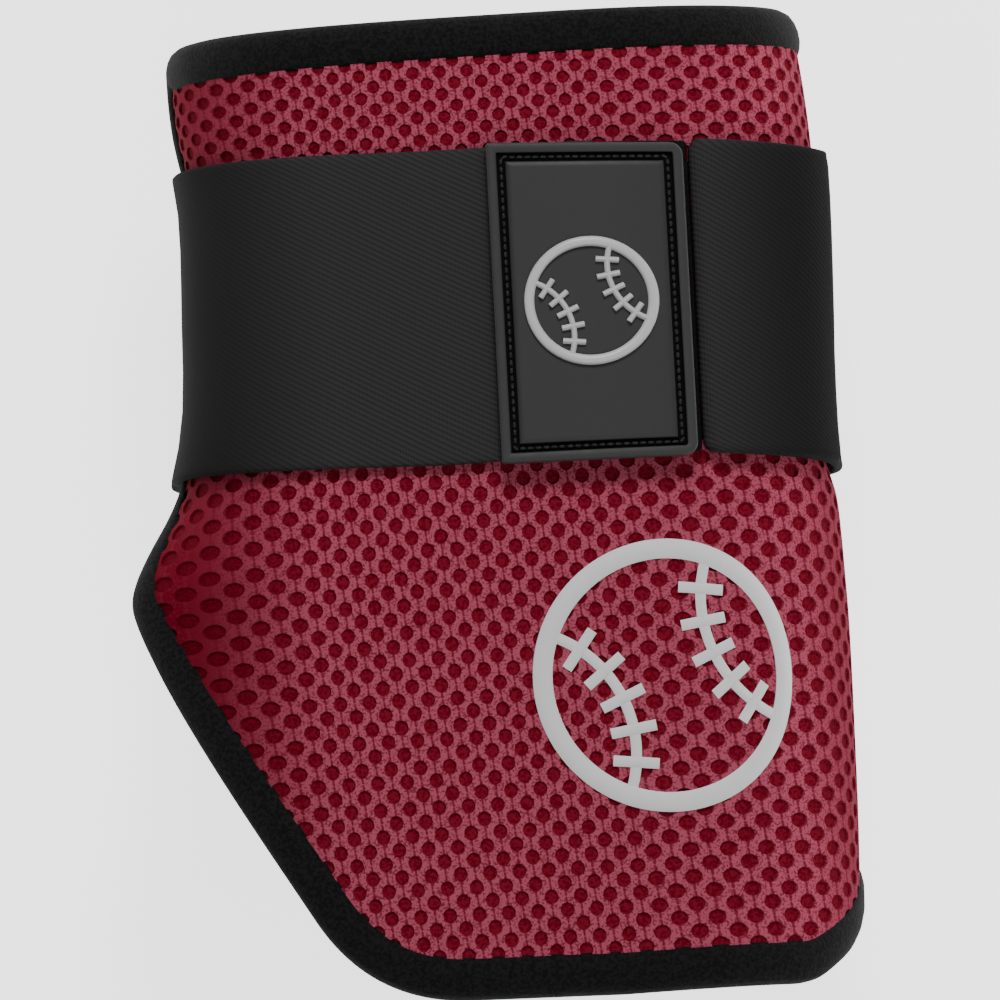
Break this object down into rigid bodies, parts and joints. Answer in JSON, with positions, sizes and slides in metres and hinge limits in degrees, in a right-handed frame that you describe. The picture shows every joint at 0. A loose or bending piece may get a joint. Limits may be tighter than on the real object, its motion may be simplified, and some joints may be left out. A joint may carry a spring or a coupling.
{
  "type": "elbow guard",
  "caption": "Moulded elbow guard with a bound edge, an elastic strap round the back and a moulded pull tab on the front, lying on its strap.",
  "frame": {"origin": "middle of the footprint, on the surface that the guard lies on", "axes": "+X to the right of the front, +Y towards the upper-arm edge, +Z out of the front of the pad"},
  "size_m": [0.1159, 0.1595, 0.0859],
  "materials": {
    "mesh_red": "perforated warp-knit mesh over foam",
    "binding_black": "matte knitted binding",
    "elastic_black": "ribbed woven elastic",
    "tape_black": "short loop pile",
    "rubber_grey": "matte moulded rubber",
    "badge_silver": "satin silver-grey relief",
    "print_white": "flat heat-transfer film"
  },
  "bodies": {
    "root": {"pad_shell": "mesh_red", "edge_binding": "binding_black", "strap_band": "elastic_black", "hook_landing": "tape_black", "pull_tab": "rubber_grey", "tab_emblem": "badge_silver", "front_print": "print_white"}
  },
  "joints": []
}
